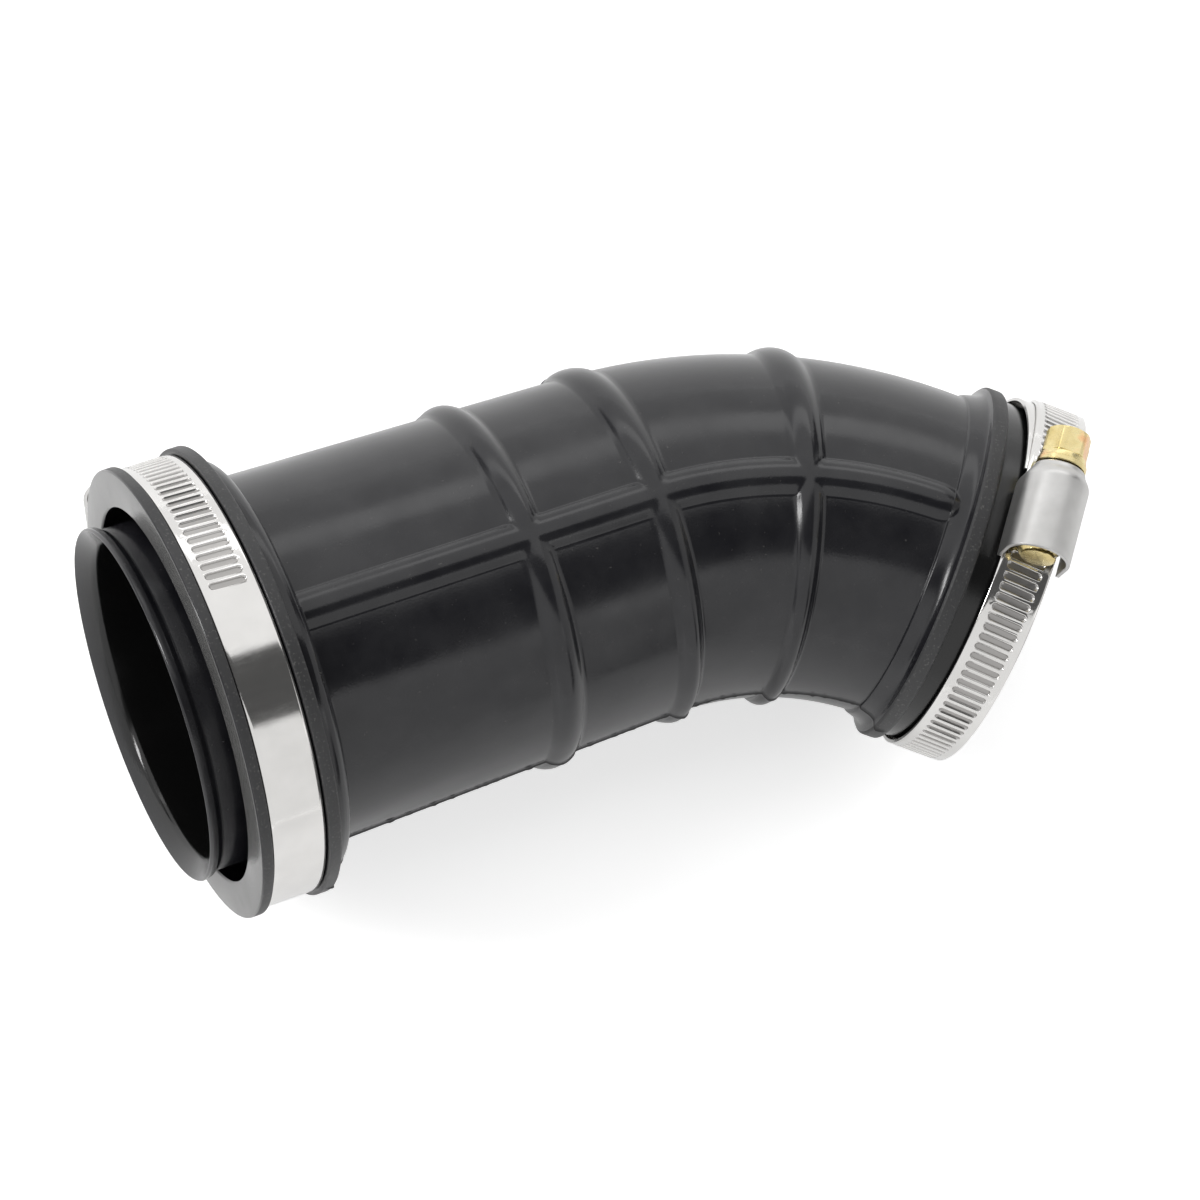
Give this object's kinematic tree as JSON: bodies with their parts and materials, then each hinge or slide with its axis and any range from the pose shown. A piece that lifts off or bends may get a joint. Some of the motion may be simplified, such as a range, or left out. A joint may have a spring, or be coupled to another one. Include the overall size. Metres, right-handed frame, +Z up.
{
  "type": "carburetor intake boot",
  "caption": "Bent rubber intake boot that joins an airbox outlet to a carburetor, with a ribbed duct, a slotted airbox collar and a worm-drive band clamp at each end.",
  "frame": {"origin": "centre of the bounding box in plan, at the level of the surface the part lies on", "axes": "+Z up from the surface the part lies on, far side down; +X along the straight run seen from above, from the airbox collar to the bend; +Y toward the outside of the bend"},
  "size_m": [0.1726, 0.0958, 0.0779],
  "materials": {
    "rubber": "smooth black moulded rubber",
    "stainless_steel": "bright rolled strip",
    "yellow_zinc": "yellow zinc plated steel"
  },
  "bodies": {
    "boot": {"rubber_boot": "rubber", "collar_clamp_band": "stainless_steel", "collar_clamp_housing": "stainless_steel", "carb_clamp_band": "stainless_steel", "carb_clamp_housing": "stainless_steel"},
    "collar_clamp_screw": {"collar_clamp_screw": "yellow_zinc"},
    "carb_clamp_screw": {"carb_clamp_screw": "yellow_zinc"}
  },
  "joints": [
    {"name": "collar_clamp_screw_turn", "type": "hinge", "parent": "boot", "child": "collar_clamp_screw", "pos_m": [-0.07405, 0.03367, 0.00743], "axis": [-0.0502, -0.5955, -0.8018], "continuous": true},
    {"name": "carb_clamp_screw_turn", "type": "hinge", "parent": "boot", "child": "carb_clamp_screw", "pos_m": [0.06827, -0.01284, 0.06655], "axis": [0.6221, 0.7772, -0.0949], "continuous": true}
  ]
}
